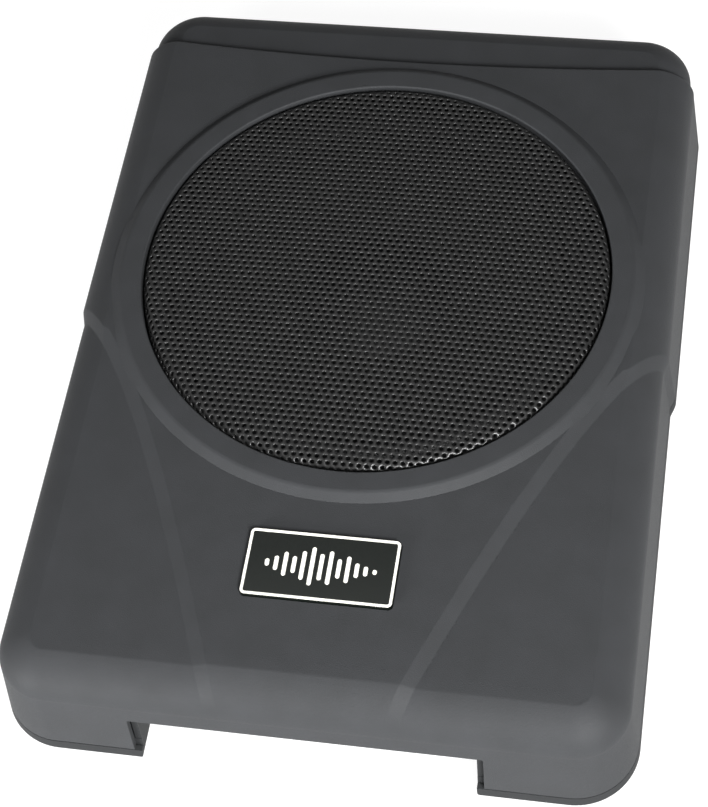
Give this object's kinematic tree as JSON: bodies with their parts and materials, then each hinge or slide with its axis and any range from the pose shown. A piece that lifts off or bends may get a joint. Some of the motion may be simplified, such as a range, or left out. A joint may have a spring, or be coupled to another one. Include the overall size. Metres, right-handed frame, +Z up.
{
  "type": "powered car subwoofer",
  "caption": "Slim under-seat powered subwoofer: drafted black cover with raised saddle, round steel grille, shallow tray, woofer, amplifier and front connector bay.",
  "frame": {"origin": "centre of the footprint, at the underside of the rubber feet", "axes": "+X right, +Y from the connector bay towards the grille end, +Z up"},
  "size_m": [0.25, 0.345, 0.0592],
  "materials": {
    "cover_plastic": "fine grained, matt",
    "tray_plastic": "fine grained, matt",
    "foam": "closed cell foam",
    "foot_rubber": "moulded rubber",
    "brass": "turned",
    "black_screw": "black zinc",
    "grille_steel": "semi-gloss black powder coat",
    "badge_black": "black anodised face, satin",
    "basket_steel": "black powder coat",
    "surround_rubber": "butyl rubber",
    "cone_paper": "black pressed paper",
    "cap_plastic": "satin",
    "former_paper": "kraft paper",
    "copper": "enamelled copper wire",
    "spider_cloth": "resin dipped cloth",
    "plated_steel": "zinc plated",
    "ferrite": "sintered ferrite",
    "strip_board": "phenolic board",
    "tinsel": "woven copper tinsel",
    "wire_red": "PVC insulation",
    "wire_black": "PVC insulation",
    "panel_steel": "black powder coat",
    "socket_white": "nylon",
    "socket_black": "nylon",
    "contact_gold": "gold plated",
    "fuse_orange": "tinted plastic",
    "nickel": "nickel plated",
    "collar_white": "glossy",
    "collar_red": "glossy",
    "pot_steel": "zinc plated",
    "knob_black": "fluted",
    "slider_white": "smooth",
    "led_blue": "tinted lens",
    "board_green": "solder mask",
    "sink_aluminium": "extruded",
    "package_black": "moulded epoxy",
    "capacitor_sleeve": "PVC sleeve",
    "core_green": "epoxy coated powdered iron"
  },
  "bodies": {
    "enclosure": {"top_cover": "cover_plastic", "bottom_tray": "tray_plastic", "cover_seal": "foam", "rubber_feet": "foot_rubber", "bracket_inserts": "brass", "cover_screws": "black_screw", "grille": "grille_steel", "grille_seal": "foam", "badge_plate": "badge_black", "basket": "basket_steel", "basket_gasket": "foam", "basket_screws": "black_screw", "surround": "surround_rubber", "spider": "spider_cloth", "top_plate": "plated_steel", "magnet": "ferrite", "yoke": "plated_steel", "terminal_strip": "strip_board", "terminal_tabs": "brass", "tinsel_leads": "tinsel", "speaker_wire_red": "wire_red", "speaker_wire_black": "wire_black", "control_panel": "panel_steel", "panel_screws": "black_screw", "power_socket": "socket_white", "power_pins": "contact_gold", "fuse_holder": "socket_black", "fuse": "fuse_orange", "speaker_level_socket": "socket_white", "speaker_level_pins": "contact_gold", "rca_shells": "nickel", "rca_inserts": "socket_black", "rca_collar_left": "collar_white", "rca_collar_right": "collar_red", "remote_port": "socket_black", "gain_pot": "pot_steel", "lowpass_pot": "pot_steel", "pot_nuts": "nickel", "phase_switch": "pot_steel", "power_led": "led_blue", "amplifier_board": "board_green", "board_screws": "nickel", "heat_sink": "sink_aluminium", "output_transistors": "package_black", "supply_capacitors": "capacitor_sleeve", "choke_core": "core_green", "choke_winding": "copper", "filter_coils": "ferrite", "control_chips": "package_black", "wire_header": "socket_white"},
    "cone_unit": {"cone": "cone_paper", "dust_cap": "cap_plastic", "coil_former": "former_paper", "voice_coil": "copper"},
    "gain_control": {"gain_knob": "knob_black"},
    "lowpass_control": {"lowpass_knob": "knob_black"},
    "phase_control": {"phase_slider": "slider_white"}
  },
  "joints": [
    {"name": "cone_travel", "type": "slide", "parent": "enclosure", "child": "cone_unit", "axis": [0, 0, 1], "range_m": [-0.005, 0.005], "stiffness_N_per_m": 2500, "deforming": ["surround", "spider", "tinsel_leads"]},
    {"name": "gain_turn", "type": "hinge", "parent": "enclosure", "child": "gain_control", "pos_m": [0.0452, -0.144, 0.0198], "axis": [0, 1, 0], "range_deg": [-140, 140]},
    {"name": "lowpass_turn", "type": "hinge", "parent": "enclosure", "child": "lowpass_control", "pos_m": [0.0544, -0.144, 0.0198], "axis": [0, 1, 0], "range_deg": [-140, 140]},
    {"name": "phase_slide", "type": "slide", "parent": "enclosure", "child": "phase_control", "axis": [1, 0, 0], "range_m": [0, 0.003]}
  ]
}
